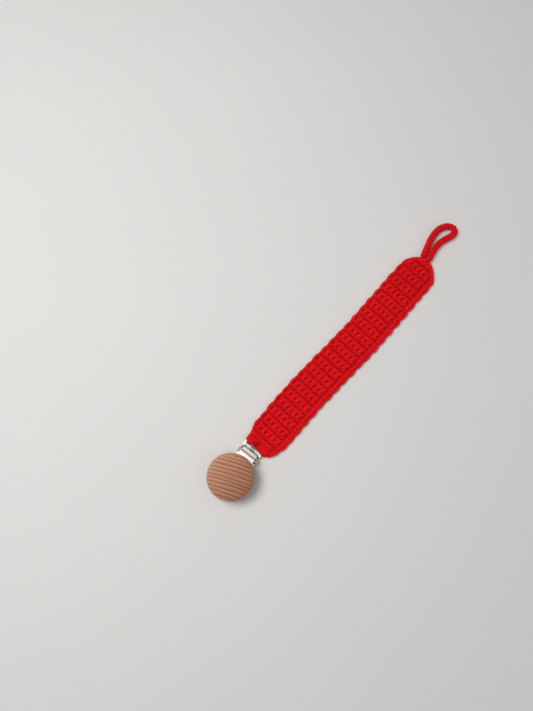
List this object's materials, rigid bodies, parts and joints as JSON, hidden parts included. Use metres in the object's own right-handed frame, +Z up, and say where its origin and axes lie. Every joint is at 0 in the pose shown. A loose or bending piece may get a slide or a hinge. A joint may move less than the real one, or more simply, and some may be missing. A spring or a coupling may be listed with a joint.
{
  "type": "pacifier clip",
  "caption": "Wooden disc on a sprung metal suspender clip, with a flat crocheted strap on its bar and a crocheted cord loop at the far end.",
  "frame": {"origin": "on the floor under the wooden disc's centre, at the underside of the back plate", "axes": "+X along the clip from the disc to the strap, +Z up through the disc's top, +Y to the left when looking along +X"},
  "size_m": [0.2455, 0.0453, 0.0126],
  "materials": {
    "nickel_plated_steel": "bright nickel plate",
    "satin_nickel": "satin nickel plate",
    "rivet_steel": "plated",
    "lever_nickel": "bright nickel plate",
    "pad_plastic": "matt",
    "beech_wood": "sanded, untreated",
    "red_yarn_near": "single crochet in matt cotton yarn",
    "red_yarn_far": "single crochet in matt cotton yarn",
    "red_yarn_loop": "crocheted cord in matt cotton yarn"
  },
  "bodies": {
    "clip_frame": {"back_plate": "nickel_plated_steel", "jaw_pad": "pad_plastic", "pivot_pin": "rivet_steel"},
    "jaw": {"clamp_jaw": "satin_nickel"},
    "lever_arm": {"lever": "lever_nickel", "wooden_disc": "beech_wood"},
    "strap_near_half": {"strap_near": "red_yarn_near"},
    "strap_far_half": {"strap_far": "red_yarn_far", "cord_loop": "red_yarn_loop"}
  },
  "joints": [
    {"name": "lever_flip", "type": "hinge", "parent": "clip_frame", "child": "lever_arm", "pos_m": [0.0169, 0, 0.0043], "axis": [0, 1, 0], "range_deg": [0, 80]},
    {"name": "jaw_open", "type": "hinge", "parent": "clip_frame", "child": "jaw", "pos_m": [0.02218, 0, 0.002], "axis": [0, 1, 0], "range_deg": [0, 7]},
    {"name": "strap_swing", "type": "hinge", "parent": "clip_frame", "child": "strap_near_half", "pos_m": [0.025, 0, 0.002], "axis": [0, -1, 0], "range_deg": [-90, 60]},
    {"name": "strap_fold", "type": "hinge", "parent": "strap_near_half", "child": "strap_far_half", "pos_m": [0.11242, -0.01034, 0.0015], "axis": [-0.0938, -0.9956, 0], "range_deg": [-90, 90]}
  ],
  "couplings": [
    {"joint": "jaw_open", "follows": "lever_flip", "ratio": 0.0875}
  ]
}
